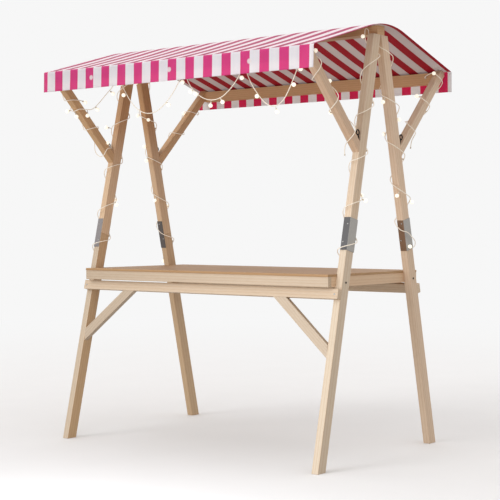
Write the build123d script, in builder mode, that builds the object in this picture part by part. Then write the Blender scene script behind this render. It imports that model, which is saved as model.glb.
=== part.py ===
"""Wooden market stall with a striped canopy.

Two A-frames of splayed timber legs carry a ridge beam. Each leg is in two
lengths, joined by a steel channel. Four braces reach out from the legs to two
eaves rails, and a striped sheet hangs over ridge and rails. A shallow table box
sits between the A-frames, over two lower beams that lie on the legs' faces.

Millimetres. X runs along the ridge, the customers stand on the -Y side, and
Z is up from the ground. The origin is on the ground, under the ridge's middle.
"""
import os
from math import atan2, cos, degrees, hypot, pi, radians, sin, sqrt, tan

from build123d import *

os.makedirs("parts", exist_ok=True)

# Legs: one timber section, splayed front and back, cut level at foot and top.
frame_length = 1704.0     # over the outer faces of the two A-frames
leg_width = 38.0          # along X
leg_depth = 63.0          # square across the leg
leg_lean = 13.16          # degrees from upright
leg_height = 2140.0       # up to the underside of the ridge beam
leg_top_gap = 2.0         # between the front and the back leg at the top

# Splice channels: folded steel round the joint of the two lengths of a leg.
splice_height = 1128.0    # of the joint, on the leg's middle line
splice_length = 164.0
splice_steel = 2.0
splice_flange = 36.0

# Ridge beam with a slightly crowned top.
ridge_width = 68.0
ridge_depth = 46.0
ridge_edge_round = 4.0

# Roof sheet: two straight slopes, rounded over the ridge, folded at the eaves.
eaves_reach = 664.0       # from the ridge's middle to the rail's outer face
eaves_drop = 174.0        # from the ridge's top down to the rails' tops
roof_slope = 16.6         # degrees
canopy_length = 1792.0
canopy_cloth = 2.0
canopy_clearance = 0.3
valance_drop = 107.6      # from the rail's top to the hem
eaves_fold = 8.0          # inner radius of the cloth over the rail

# Eaves rails and the four braces that carry them.
rail_width = 38.0
rail_depth = 63.0
brace_depth = 44.0
brace_angle = 45.0        # degrees from level
brace_lift = 12.0         # of the brace's middle line over the rails' tops, at the eaves

# Eye screws in the crook between leg and brace.
eye_outer = 32.0
eye_wire = 7.0            # over the flats of a six-sided wire
eye_wire_sides = 6
eye_bends = 12            # straight lengths that the ring is bent in
eye_reach = 49.0          # from the crook to the middle of the ring
eye_inset = 6.0           # from the outer face of the frame
eye_clearance = 0.3

# Table box.
table_height = 937.0
table_board = 12.0
table_depth = 846.0       # over the aprons
board_lip = 2.0           # past each apron, with its top edge bevelled off
apron_depth = 50.0
apron_width = 28.0

# Lower beams on the legs' outer faces, and the front knee braces.
beam_height = 831.0       # on the leg's middle line
beam_depth = 50.0
beam_width = 28.0
knee_drop = 254.0         # from the beam's underside down the leg
knee_reach = 305.0        # from the leg along the beam
knee_depth = 50.0
knee_width = 28.0

# Strings of small round lights, wound round the upper legs and the braces and
# hung in swags from four nails behind the front rail.
cord_size = 4.5
cord_stand = 15.0         # a slack cord's usual distance from the faces of a timber
cord_ease = 3.0           # its bends start this far inside the timber's edge
cord_swell = 3.0          # and it stands off further in the middle of a face
edge_share = 0.2          # part of the way to the next edge that a bend takes up
bend_share = 0.45         # part of the shorter run beside it that a bend takes up
nail_size = 3.0
nail_head = 6.0
nail_head_thick = 1.5
nail_out = 22.0           # from the rail's inner face to the head's underside
nail_drop = 59.0          # from the rail's top
nail_places = (-383.0, 63.0, 447.0, 790.0)
swag_out = 12.0           # from the rail's inner face to the swags
over_nail = [(-18, -27), (-10.5, -7), (-5, 6), (5, 6), (10.5, -7), (18, -27)]

# Worked out from the sizes above.
lean_cos = cos(radians(leg_lean))
lean_sin = sin(radians(leg_lean))
lean_tan = tan(radians(leg_lean))
leg_cut = leg_depth / lean_cos                      # level cut through a leg
frame_x = frame_length / 2                          # outer face of an A-frame
inner_x = frame_x - leg_width                       # inner face of an A-frame
timber_x = {-1: -frame_x, 1: inner_x}               # -X face of each A-frame's timber
top_outer = leg_top_gap / 2 + leg_cut               # leg's outer face at the top
foot_outer = top_outer + leg_height * lean_tan      # leg's outer face at the foot
ridge_top = leg_height + ridge_depth
eaves_height = ridge_top - eaves_drop               # of the rails' tops
slope_turn = radians(roof_slope)
brace_turn = radians(brace_angle)
brace_rise = eaves_height + brace_lift - eaves_reach * tan(brace_turn)  # where it would meet Y = 0

# The sheet's underside over the ridge: it rests on the beam's crown and runs
# into the two straight slopes, so its radius follows from their angle.
slope_apex = eaves_height + eaves_reach * tan(slope_turn)
crown_radius = (slope_apex - ridge_top) / (1 / cos(slope_turn) - 1)
crown_centre = ridge_top - crown_radius
crown_sag = crown_radius - sqrt(crown_radius ** 2 - (ridge_width / 2) ** 2)

# The fold of the sheet over each rail's rounded edge.
rail_round = eaves_fold - canopy_clearance
fold_y = eaves_reach - rail_round
fold_z = eaves_height + rail_round * tan(slope_turn) - rail_round / cos(slope_turn)

# A three-sided tube with the cord's own section area keeps the many turns light.
cord_area = pi * cord_size ** 2 / 4
tube_flats = 2 * sqrt(cord_area / (3 * sqrt(3)))


def side_view(x):
    """Upright plane at x, seen from +X: sketches on it are in y and z."""
    return Plane(origin=(x, 0, 0), x_dir=(0, 1, 0), z_dir=(1, 0, 0))


def leg_face(height):
    """Distance of a leg's outer face from Y = 0 at a height."""
    return foot_outer - height * lean_tan


def on_leg(height, across, side):
    """Point (y, z) on a leg: at a height on its middle line, then square across
    it, outwards. side is -1 at the front and 1 at the back."""
    middle = leg_face(height) - leg_cut / 2
    return (side * (middle + across * lean_cos), height + across * lean_sin)


def keep(piece, name):
    """Label a finished piece and write it."""
    piece.part.label = name
    export_step(piece.part, f"parts/{name}.step")
    print(name, round(piece.part.volume / 1000), "cm3")


def make_leg(name, end, side, upper):
    """One length of a leg. The joint with the other length is cut square."""
    joint_in = on_leg(splice_height, -leg_depth / 2, side)
    joint_out = on_leg(splice_height, leg_depth / 2, side)
    level = leg_height if upper else 0
    level_in = (side * (leg_face(level) - leg_cut), level)
    level_out = (side * leg_face(level), level)
    with BuildPart() as leg:
        with BuildSketch(side_view(timber_x[end])):
            with BuildLine():
                Polyline(level_in, level_out, joint_out, joint_in, close=True)
            make_face()
        extrude(amount=leg_width)
    keep(leg, name)


def make_splice(name, end, side):
    """Steel channel: its web on the leg's outer side, a flange front and back."""
    foot_height = splice_height - splice_length / 2 * lean_cos
    foot_y, foot_z = on_leg(foot_height, 0, side)
    section = Plane(origin=(end * frame_x, foot_y, foot_z), x_dir=(end, 0, 0),
                    z_dir=(0, -side * lean_sin, lean_cos))
    with BuildPart() as splice:
        with BuildSketch(section):
            with Locations((splice_steel, 0)):
                Rectangle(splice_flange + splice_steel, leg_depth + 2 * splice_steel,
                          align=(Align.MAX, Align.CENTER))
            Rectangle(leg_width, leg_depth, align=(Align.MAX, Align.CENTER), mode=Mode.SUBTRACT)
        extrude(amount=splice_length)
    keep(splice, name)


def make_brace(name, end, side):
    """Brace from the leg's outer face up to the eaves, cut to the roof's slope."""
    leg_side = Plane(origin=(0, side * foot_outer, 0), x_dir=(1, 0, 0),
                     z_dir=(0, side * lean_cos, lean_sin))
    roof = Plane(origin=(0, side * eaves_reach, eaves_height), x_dir=(1, 0, 0),
                 z_dir=(0, side * sin(slope_turn), cos(slope_turn)))
    eaves = Plane(origin=(0, side * eaves_reach, 0), x_dir=(1, 0, 0), z_dir=(0, side, 0))
    half_run = eaves_reach / 2
    with BuildPart() as brace:
        with BuildSketch(side_view(timber_x[end])):
            with Locations((side * half_run, brace_rise + half_run * tan(brace_turn))):
                Rectangle(2 * eaves_reach, brace_depth, rotation=side * brace_angle)
        extrude(amount=leg_width)
        split(bisect_by=leg_side, keep=Keep.TOP)
        split(bisect_by=eaves, keep=Keep.BOTTOM)
        split(bisect_by=roof, keep=Keep.BOTTOM)
        outermost = edges().filter_by(Axis.X).group_by(Axis.Y)[-1 if side > 0 else 0]
        fillet(outermost.sort_by(Axis.Z)[-1], rail_round)
    keep(brace, name)


def make_eye(name, end, side):
    """Eye screw standing in the crook between the leg and its brace."""
    brace_top = brace_rise + brace_depth / 2 / cos(brace_turn)
    crook_z = (brace_top + foot_outer * tan(brace_turn)) / (1 + tan(brace_turn) * lean_tan)
    crook_y = leg_face(crook_z)
    stand = radians((brace_angle + 90 + leg_lean) / 2)
    half_crook = stand - brace_turn
    seat = (eye_wire / 2 / cos(radians(180 / eye_wire_sides)) + eye_clearance) / sin(half_crook)
    ring_radius = (eye_outer - eye_wire) / 2

    def along(reach):
        """Point on the eye screw's own line, from the crook outwards."""
        return (end * (frame_x - eye_inset), side * (crook_y + reach * cos(stand)),
                crook_z + reach * sin(stand))

    with BuildPart() as eye:
        with BuildSketch(Plane(origin=along(seat), z_dir=(0, side * cos(stand), sin(stand)))):
            RegularPolygon(eye_wire / 2, eye_wire_sides, major_radius=False)
        extrude(amount=eye_reach - seat - ring_radius)
        with BuildLine(Plane(origin=along(eye_reach), x_dir=(0, side * cos(stand), sin(stand)),
                             z_dir=(1, 0, 0))) as ring:
            Polyline(*[(ring_radius * cos(2 * pi * (bend + 0.5) / eye_bends),
                        ring_radius * sin(2 * pi * (bend + 0.5) / eye_bends))
                       for bend in range(eye_bends)], close=True)
        with BuildSketch(Plane(origin=ring.line @ 0, z_dir=ring.line % 0)):
            RegularPolygon(eye_wire / 2, eye_wire_sides, major_radius=False)
        sweep(path=ring.line, transition=Transition.RIGHT)
    keep(eye, name)


def make_rail(name, side):
    """Eaves rail between the braces, its outer top edge rounded for the sheet."""
    with BuildPart() as rail:
        with BuildSketch(side_view(-inner_x)):
            with Locations((side * (eaves_reach - rail_width / 2), eaves_height - rail_depth / 2)):
                Rectangle(rail_width, rail_depth)
            top_corners = vertices().sort_by(Axis.Y)[-2:].sort_by(Axis.X)
            fillet(top_corners[-1 if side > 0 else 0], rail_round)
        extrude(amount=2 * inner_x)
    keep(rail, name)


def make_beam(name, side):
    """Lower beam, flat on the outer faces of two legs and leaning with them."""
    near = leg_depth / 2
    far = near + beam_width
    low = beam_height - beam_depth / 2 * lean_cos
    high = beam_height + beam_depth / 2 * lean_cos
    with BuildPart() as beam:
        with BuildSketch(side_view(-frame_x)):
            with BuildLine():
                Polyline(on_leg(low, near, side), on_leg(low, far, side),
                         on_leg(high, far, side), on_leg(high, near, side), close=True)
            make_face()
        extrude(amount=frame_length)
    keep(beam, name)


def make_ridge_beam():
    """Beam on the legs' tops, with a crown of the same radius as the sheet."""
    half = ridge_width / 2
    shoulder = ridge_top - crown_sag
    with BuildPart() as beam:
        with BuildSketch(side_view(-frame_x)):
            with BuildLine():
                Polyline((-half, shoulder), (-half, leg_height), (half, leg_height), (half, shoulder))
                RadiusArc((half, shoulder), (-half, shoulder), -crown_radius)
            make_face()
            top_corners = vertices().sort_by(Axis.Y)[-2:]
            fillet(top_corners, ridge_edge_round)
        extrude(amount=frame_length)
    keep(beam, "ridge_beam")


def sheet_edge(lift):
    """Draw half of the sheet's profile, at a distance from the frame: up from
    the hem, round the fold, up the slope and over to the ridge."""
    bend = rail_round + lift
    over = crown_radius + lift
    hem = (fold_y + bend, eaves_height - valance_drop)
    drop = (fold_y + bend, fold_z)
    slope_foot = (fold_y + bend * sin(slope_turn), fold_z + bend * cos(slope_turn))
    slope_head = (over * sin(slope_turn), crown_centre + over * cos(slope_turn))
    ridge = (0, crown_centre + over)
    Line(hem, drop)
    RadiusArc(drop, slope_foot, -bend)
    Line(slope_foot, slope_head)
    RadiusArc(slope_head, ridge, -over)
    return hem, ridge


def make_canopy():
    """The striped sheet: hem, front fold, slope, ridge, slope, fold and hem."""
    with BuildPart() as canopy:
        with BuildSketch(side_view(-canopy_length / 2)):
            with BuildLine():
                inner_hem, inner_ridge = sheet_edge(canopy_clearance)
                outer_hem, outer_ridge = sheet_edge(canopy_clearance + canopy_cloth)
                Line(inner_hem, outer_hem)
                Line(inner_ridge, outer_ridge)
            make_face()
            mirror(about=Plane.YZ)
        extrude(amount=canopy_length)
    keep(canopy, "canopy")


def make_table():
    """Shallow box between the A-frames: aprons, end rails and a thin board."""
    apron_top = table_height - table_board
    for side_name, side in sides.items():
        with BuildPart() as apron:
            with BuildSketch(Plane.XY.offset(apron_top - apron_depth)):
                with Locations((0, side * (table_depth - apron_width) / 2)):
                    Rectangle(2 * inner_x, apron_width)
            extrude(amount=apron_depth)
        keep(apron, f"{side_name}_apron")
    for end_name, end in ends.items():
        with BuildPart() as end_rail:
            with BuildSketch(Plane.XY.offset(apron_top - apron_depth)):
                with Locations((end * (inner_x - apron_width / 2), 0)):
                    Rectangle(apron_width, table_depth - 2 * apron_width)
            extrude(amount=apron_depth)
        keep(end_rail, f"{end_name}_end_rail")
    with BuildPart() as board:
        with BuildSketch(Plane.XY.offset(apron_top)):
            Rectangle(2 * inner_x, table_depth + 2 * board_lip)
        extrude(amount=table_board)
        chamfer(edges().filter_by(Axis.X).group_by(Axis.Z)[-1], board_lip)
    keep(board, "table_top")


def make_knee(name, end):
    """Knee brace in front: flush with the beam's face above, the leg's below."""
    top_y, top_z = on_leg(beam_height - beam_depth / 2 * lean_cos, leg_depth / 2 + beam_width, -1)
    drop_y = top_y + leg_face(top_z - knee_drop)
    drop = hypot(drop_y, knee_drop)
    face = Plane(origin=(end * inner_x, top_y, top_z), x_dir=(1, 0, 0),
                 z_dir=(0, -knee_drop, drop_y))
    under_beam = Plane(origin=(0, top_y, top_z), x_dir=(1, 0, 0), z_dir=(0, lean_sin, lean_cos))
    beside_leg = Plane(origin=(end * inner_x, 0, 0), x_dir=(0, 1, 0), z_dir=(end, 0, 0))
    with BuildPart() as knee:
        with BuildSketch(face):
            with Locations((-end * knee_reach / 2, -drop / 2)):
                Rectangle(2 * hypot(knee_reach, drop), knee_depth,
                          rotation=-end * degrees(atan2(drop, knee_reach)))
        extrude(amount=-knee_width)
        split(bisect_by=under_beam, keep=Keep.BOTTOM)
        split(bisect_by=beside_leg, keep=Keep.BOTTOM)
    keep(knee, name)


def make_nails():
    """Four nails in the front rail's inner face, which hold the swags."""
    inner_face = eaves_reach - rail_width
    spots = [(place, eaves_height - nail_drop) for place in nail_places]
    with BuildPart() as nails:
        with BuildSketch(Plane.XZ.offset(inner_face)):
            with Locations(*spots):
                RegularPolygon(nail_size / 2, 8)
        extrude(amount=-nail_out)
        with BuildSketch(Plane.XZ.offset(inner_face - nail_out)):
            with Locations(*spots):
                RegularPolygon(nail_head / 2, 8)
        extrude(amount=-nail_head_thick)
    keep(nails, "front_rail_nails")


def leg_timber(end, side):
    """A leg for winding: its top, the ways down it and across it, and its half sizes."""
    return (Vector(end * (frame_x - leg_width / 2), side * (top_outer - leg_cut / 2), leg_height),
            Vector(0, side * lean_sin, -lean_cos), Vector(0, side * lean_cos, lean_sin),
            leg_width / 2, leg_depth / 2)


def brace_timber(end, side):
    """A brace for winding, like a leg, but up from where it would meet Y = 0."""
    return (Vector(end * (frame_x - leg_width / 2), 0, brace_rise),
            Vector(0, side * cos(brace_turn), sin(brace_turn)),
            Vector(0, -side * sin(brace_turn), cos(brace_turn)), leg_width / 2, brace_depth / 2)


def wind(timber, corner, turn, crossings):
    """Route of a cord wound round a timber, as points.

    The cord passes the timber's edges one after the other. corner is the first
    edge, as signs along X and across, and turn is 1 or -1 for the way round.
    Each crossing says how far along the timber the cord passes its edge, down
    from the top on a leg and up on a brace, and a pair also says how far it
    stands off there.
    """
    half_x, half_across = timber[3:]
    corners = [(1, -1), (1, 1), (-1, 1), (-1, -1)]
    first = corners.index(corner)
    edges_met = [spot if isinstance(spot, tuple) else (spot, cord_stand) for spot in crossings]
    last = len(edges_met) - 1
    points = []
    for count, (here, stand) in enumerate(edges_met):
        sign_x, sign_across = corners[(first + turn * count) % 4]
        leaves_on_x_face = corners[(first + turn * (count + 1)) % 4][0] == sign_x
        before = edges_met[max(count - 1, 0)][0]
        after, next_stand = edges_met[min(count + 1, last)]
        on_x_face = (sign_x * (half_x + stand), sign_across * (half_across - cord_ease))
        on_other_face = (sign_x * (half_x - cord_ease), sign_across * (half_across + stand))
        arrival, departure = on_x_face, on_other_face
        if leaves_on_x_face:
            arrival, departure = on_other_face, on_x_face
        points += beside(timber, [(*arrival, here + (before - here) * edge_share),
                                  (*departure, here + (after - here) * edge_share)])
        if count < last:
            off = (stand + next_stand) / 2 + cord_swell
            middle = (0, sign_across * (half_across + off))
            if leaves_on_x_face:
                middle = (sign_x * (half_x + off), 0)
            points += beside(timber, [(*middle, (here + after) / 2)])
    return points


def beside(timber, spots):
    """Points given as (X from the timber's middle, across, along)."""
    start, along, across = timber[:3]
    return [start + Vector(spot_x, 0, 0) + across * spot_across + along * distance
            for spot_x, spot_across, distance in spots]


def make_lights(name, points):
    """One string's cord: straight runs with a wide bend at every point."""
    radii = []
    for before, here, after in zip(points, points[1:], points[2:]):
        turn = radians((here - before).get_angle(after - here))
        shorter = min((here - before).length, (after - here).length)
        radii.append(bend_share * shorter / tan(turn / 2))
    with BuildPart() as lights:
        with BuildLine() as route:
            FilletPolyline(*points, radius=radii)
        with BuildSketch(Plane(origin=route.line @ 0, z_dir=route.line % 0)):
            RegularPolygon(tube_flats, 3)
        sweep(path=route.line)
    length = route.wires()[0].length
    print(name, "length", round(length), "bends from", round(min(radii), 1), "to", round(max(radii)),
          "volume over section times length", round(lights.part.volume / (cord_area * length), 3))
    keep(lights, name)


def between(end, spots):
    """Points by the legs' tops, as (X from the A-frame's inner face, Y, down)."""
    return [Vector(end * (inner_x + spot_x), spot_y, leg_height - down) for spot_x, spot_y, down in spots]


def behind(side, spots):
    """Points behind an eaves rail, as (X, inwards from its inner face, down from its top)."""
    inner_face = eaves_reach - rail_width
    return [Vector(spot_x, side * (inner_face - inwards), eaves_height - down)
            for spot_x, inwards, down in spots]


def hang(spots):
    """Points of a swag, as (X, down from the rail's top)."""
    return behind(-1, [(spot_x, swag_out, down) for spot_x, down in spots])


def arch(place):
    """Points of the cord where it goes over a nail."""
    return hang([(place + spot_x, nail_drop - rise) for spot_x, rise in over_nail])


ends = {"left": -1, "right": 1}
sides = {"front": -1, "back": 1}
for side_name, side in sides.items():
    for end_name, end in ends.items():
        corner = f"{side_name}_{end_name}"
        make_leg(f"{corner}_lower_leg", end, side, upper=False)
        make_leg(f"{corner}_upper_leg", end, side, upper=True)
        make_splice(f"{corner}_splice", end, side)
        make_brace(f"{corner}_brace", end, side)
        make_eye(f"{corner}_eye_screw", end, side)
    make_rail(f"{side_name}_eaves_rail", side)
    make_beam(f"{side_name}_beam", side)
make_ridge_beam()
make_canopy()
make_table()
for end_name, end in ends.items():
    make_knee(f"{end_name}_knee_brace", end)
make_nails()

right_front_leg = leg_timber(1, -1)
right_back_leg = leg_timber(1, 1)
left_front_leg = leg_timber(-1, -1)
left_back_leg = leg_timber(-1, 1)
right_front_brace = brace_timber(1, -1)
left_front_brace = brace_timber(-1, -1)
right_back_brace = brace_timber(1, 1)
left_back_brace = brace_timber(-1, 1)

# Right A-frame: up the front leg, between the legs' tops, over a loop beside the
# ridge beam and down the back leg to a curl.
right_leg_route = [
    *beside(right_front_leg, [(-19, -8, 1148), (-31, -8, 1148), (-40, -1, 1143), (-42, 13, 1135)]),
    *wind(right_front_leg, (-1, 1), -1, [
        (1123, 18), (1103, 18), (1063, 18), (998, 18), 917, 894, 845, 778, 682, 667, 606, 548,
        446, 426, 354, 303, 222, 173, 93]),
    *between(1, [(6, -6, 80), (-11, -16, 63), (-17, -42, 51), (-14, -65, 30), (-12, -73.5, 6),
                 (-11, -74, -19), (-11, -65, -28), (-10, -51.5, -28), (-9, -42.5, -19), (-8, -43, 3),
                 (-11, -33, 22), (-14, -17, 34), (-10, -3, 41), (3, 3, 44), (20, 2, 48)]),
    *wind(right_back_leg, (1, -1), 1, [
        58, (128, 22), 213, 289, 317, (382, 24), 458, 528, 559, (637, 24), 698, 749, 790,
        (865, 26), 928, (971, 18), (1020, 18)]),
    *beside(right_back_leg, [(36, 0, 1048), (34, 28, 1070), (32, 45, 1091), (30, 38, 1110),
                             (30, 12, 1115), (31, -9, 1105)])]

# Left A-frame: the same way, with the loop on the frame's outer side.
left_leg_route = [
    *beside(left_front_leg, [(-19, -8, 1150), (-31, -8, 1150), (-40, -1, 1145), (-43, 12, 1136)]),
    *wind(left_front_leg, (-1, 1), -1, [
        (1119, 18), (1097, 18), (1059, 18), (998, 18), (923, 20), 888, 835, 768, (680, 20),
        653, 608, 518, (424, 20), 391, 334, 278, (227, 20), 170, 93]),
    *between(-1, [(34, -5, 80), (54, -5, 76), (67, -3, 64), (67, -1, 49), (54, 0, 38), (34, 0, 36),
                  (17, 3, 46)]),
    *wind(left_back_leg, (1, -1), 1, [
        58, 138, 223, 304, 332, (382, 20), 458, 547, 575, 633, 698, 770, 806, (871, 20), 928,
        (986, 18), (1040, 18), (1085, 18), (1133, 18)]),
    *beside(left_back_leg, [(-37, -3, 1162), (-35, -10, 1188)])]

# Front: round the top of the left brace, four swags from nail to nail, then over
# the right brace and down it.
front_route = [
    *beside(left_front_brace, [(-19, 17, 784), (-31, 17, 784), (-40, 10, 779), (-42, -4, 770)]),
    *wind(left_front_brace, (-1, -1), 1, [752, 752, 688, 683, 676, 674]),
    *behind(-1, [(-794, 161, 190), (-779, 178, 192), (-753, 182, 193), (-716, 168, 187),
                 (-664, 142, 173), (-611, 117, 154), (-560, 93, 134), (-510, 70, 116), (-457, 46, 95),
                 (-420, 28, 76), (-399, 18, 60), (-387, 12, 53)]),
    *arch(nail_places[0])[3:],
    *hang([(-355, 109), (-328, 150), (-292, 197), (-255, 230), (-213, 252), (-165, 261),
           (-112, 250), (-66, 220), (-25, 184), (8, 146), (35, 108)]),
    *arch(nail_places[1]),
    *hang([(91, 109), (117, 147), (158, 183), (206, 209), (255, 217), (306, 208),
           (350, 181), (388, 146), (419, 108)]),
    *arch(nail_places[2]),
    *hang([(473, 110), (498, 157), (531, 201), (568, 242), (610, 269), (655, 267),
           (690, 240), (718, 197), (742, 152), (762, 109)]),
    *arch(nail_places[3])[:3],
    *behind(-1, [(792, 20, 44)]),
    *wind(right_front_brace, (-1, 1), -1, [
        850, 809, 790, (747, 20), 680, 605, 586, 548, 470, 389, 377, 336])[:-1],
    *beside(right_front_brace, [(-29, -42, 326), (-35, -54, 306), (-34, -68, 290)])]

# The lower half of the front left brace has a string of its own, with a slack turn.
front_left_route = [
    *beside(left_front_brace, [(-19, 17, 564), (-31, 17, 564), (-40, 10, 559), (-42, -4, 550)]),
    *wind(left_front_brace, (-1, -1), 1, [535, 538, 500, 450, (389, 20)])[:-1],
    *beside(left_front_brace, [(-38, -36, 384), (-28, -50, 364), (-10, -57, 352), (10, -57, 350),
                               (27, -50, 356), (37, -36, 367), (39, -17, 372), (38, 2, 362),
                               (36, 16, 349)])]

# Back braces.
back_right_route = [
    *behind(1, [(757, 0, 26), (757, 12, 26), (764, 21, 22), (779, 26, 15), (797, 29, 9)]),
    *wind(right_back_brace, (-1, 1), -1, [
        889, 850, 856, 770, 683, 647, 659, 570, (477, 20), 434, 443])[1:],
    *beside(right_back_brace, [(6, -48, 424), (0, -64, 408), (-4, -82, 394)])]
back_left_route = [
    *beside(left_back_brace, [(-12, -22, 788), (-12, -34, 788), (-5, -43, 783), (8, -46, 774)]),
    *wind(left_back_brace, (1, -1), 1, [744, 700, 692, 620, 554, 500, 500]),
    *beside(left_back_brace, [(-36, 4, 484), (-37, -14, 466), (-36, -32, 452)])]

make_lights("right_leg_lights", right_leg_route)
make_lights("left_leg_lights", left_leg_route)
make_lights("front_lights", front_route)
make_lights("front_left_brace_lights", front_left_route)
make_lights("back_right_brace_lights", back_right_route)
make_lights("back_left_brace_lights", back_left_route)
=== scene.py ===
# %% [markdown]
# # A wooden market stall
# The stall is an open frame: two splayed A-frames of pine, a shallow table box
# between them, a ridge beam with two eaves rails, a striped cloth roof and six
# strings of small round lights. The timber and the steel already exist as exact
# solids, so this lesson gives them their finish and adds what solids do badly:
# cords, bulbs, cloth, screws and bolts. All sizes are in metres.

# %% Load the solids
import math
from itertools import product

import bmesh
import bpy
import numpy as np
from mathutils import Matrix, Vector


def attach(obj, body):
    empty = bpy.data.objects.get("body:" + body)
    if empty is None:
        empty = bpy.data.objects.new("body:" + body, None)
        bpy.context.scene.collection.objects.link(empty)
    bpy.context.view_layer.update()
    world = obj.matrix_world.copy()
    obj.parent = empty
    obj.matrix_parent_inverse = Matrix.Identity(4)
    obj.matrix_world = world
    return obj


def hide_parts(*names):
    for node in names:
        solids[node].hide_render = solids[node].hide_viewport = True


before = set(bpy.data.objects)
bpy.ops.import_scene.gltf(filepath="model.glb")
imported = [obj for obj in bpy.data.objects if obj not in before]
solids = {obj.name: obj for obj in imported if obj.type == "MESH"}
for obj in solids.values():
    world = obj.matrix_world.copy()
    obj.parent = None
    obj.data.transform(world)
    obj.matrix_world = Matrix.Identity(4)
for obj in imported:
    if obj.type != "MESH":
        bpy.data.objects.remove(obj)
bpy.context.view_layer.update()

# %% [markdown]
# ## Camera
# The photograph was taken from the right of the front, about 6.8 m away and at
# table height, with the camera held level. A level camera keeps upright lines
# upright, so the view is moved down with a little lens shift and not by
# tilting it.

# %% Camera
camera_data = bpy.data.cameras.new("photo_camera")
camera_data.sensor_width = 36.0
camera_data.lens = 89.95
camera_data.shift_y = -0.0457
camera = bpy.data.objects.new("photo_camera", camera_data)
camera.location = (4.1629, -5.4291, 1.1656)
camera.rotation_euler = (math.radians(90), 0, math.radians(37.36))
bpy.context.scene.collection.objects.link(camera)
bpy.context.scene.camera = camera
print("camera focal length", camera_data.lens, "mm")

# %% [markdown]
# ## Sizes that the added pieces share with the solids
# The strings wind round the timbers, so the timbers' sizes are repeated here.
# A length in millimetres times MM is in metres.

# %% Sizes of the timbers
MM = 0.001
sides, ends = {"front": -1, "back": 1}, {"left": -1, "right": 1}
frame_x, leg_width, leg_depth = 852 * MM, 38 * MM, 63 * MM
inner_x = frame_x - leg_width
leg_lean, leg_height = math.radians(13.16), 2140 * MM
lean_cos, lean_sin, lean_tan = math.cos(leg_lean), math.sin(leg_lean), math.tan(leg_lean)
leg_cut = leg_depth / lean_cos
top_outer = 1 * MM + leg_cut
foot_outer = top_outer + leg_height * lean_tan
eaves_reach, rail_width = 664 * MM, 38 * MM
ridge_top = leg_height + 46 * MM
eaves_height = ridge_top - 174 * MM
brace_depth, brace_turn = 44 * MM, math.radians(45)
brace_rise = eaves_height + 12 * MM - eaves_reach * math.tan(brace_turn)
print("a leg leans", round(math.degrees(leg_lean), 2), "degrees; eaves at", round(eaves_height, 3))

# %% [markdown]
# ## The light strings' cords
# A string of lights is a limp, cream cord of 4.5 mm. It is wound loosely round
# a timber, and between two nails it hangs in a swag. It could be a mesh tube,
# but a curve with a round bevel stays smooth and is easy to change. A NURBS
# spline of order 3 runs near its control points without passing through them,
# so a few points give the soft line of a slack cord.
#
# The points of a winding are worked out like this. The cord passes the four
# long edges of the timber in turn. Each passing has two points, one on each
# side of the edge, and one more point stands off the middle of the next face.

# %% Helpers for the cords' routes
cord_size = 4.5 * MM
cord_stand, cord_ease, cord_swell, edge_share = 15, 3, 3, 0.2
nail_places = (-383, 63, 447, 790)
nail_drop, swag_out = 59, 12
over_nail = [(-18, -27), (-10.5, -7), (-5, 6), (5, 6), (10.5, -7), (18, -27)]


def leg_timber(end, side):
    """A leg for winding: its top, the ways down it and across it, and its half sizes."""
    return (Vector((end * (frame_x - leg_width / 2), side * (top_outer - leg_cut / 2), leg_height)),
            Vector((0, side * lean_sin, -lean_cos)), Vector((0, side * lean_cos, lean_sin)),
            leg_width / 2, leg_depth / 2)


def brace_timber(end, side):
    """A brace for winding, like a leg, but up from where it would meet Y = 0."""
    return (Vector((end * (frame_x - leg_width / 2), 0, brace_rise)),
            Vector((0, side * math.cos(brace_turn), math.sin(brace_turn))),
            Vector((0, -side * math.sin(brace_turn), math.cos(brace_turn))),
            leg_width / 2, brace_depth / 2)


def beside(timber, spots):
    """Points given as (X from the timber's middle, across, along), in millimetres."""
    start, along, across = timber[:3]
    return [start + Vector((spot_x * MM, 0, 0)) + across * (spot_across * MM) + along * (distance * MM)
            for spot_x, spot_across, distance in spots]


def wind(timber, corner, turn, crossings):
    """Points of a cord wound round a timber.

    corner is the first edge that it passes, as signs along X and across, and
    turn is 1 or -1 for the way round. Each crossing is the distance along the
    timber where it passes an edge, or a pair with how far it stands off there.
    """
    half_x, half_across = timber[3] / MM, timber[4] / MM
    corners = [(1, -1), (1, 1), (-1, 1), (-1, -1)]
    first = corners.index(corner)
    passed = [spot if isinstance(spot, tuple) else (spot, cord_stand) for spot in crossings]
    last = len(passed) - 1
    points = []
    for count, (here, stand) in enumerate(passed):
        sign_x, sign_across = corners[(first + turn * count) % 4]
        leaves_on_x_face = corners[(first + turn * (count + 1)) % 4][0] == sign_x
        before = passed[max(count - 1, 0)][0]
        after, next_stand = passed[min(count + 1, last)]
        arrival = (sign_x * (half_x + stand), sign_across * (half_across - cord_ease))
        departure = (sign_x * (half_x - cord_ease), sign_across * (half_across + stand))
        if leaves_on_x_face:
            arrival, departure = departure, arrival
        points += beside(timber, [(*arrival, here + (before - here) * edge_share),
                                  (*departure, here + (after - here) * edge_share)])
        if count < last:
            off = (stand + next_stand) / 2 + cord_swell
            middle = (0, sign_across * (half_across + off))
            if leaves_on_x_face:
                middle = (sign_x * (half_x + off), 0)
            points += beside(timber, [(*middle, (here + after) / 2)])
    return points


def between(end, spots):
    """Points by the legs' tops, as (X from the A-frame's inner face, Y, down) in millimetres."""
    return [Vector((end * (inner_x + spot_x * MM), spot_y * MM, leg_height - down * MM))
            for spot_x, spot_y, down in spots]


def behind(side, spots):
    """Points behind an eaves rail, as (X, inwards from its inner face, down from its top)."""
    inner_face = eaves_reach - rail_width
    return [Vector((spot_x * MM, side * (inner_face - inwards * MM), eaves_height - down * MM))
            for spot_x, inwards, down in spots]


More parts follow.
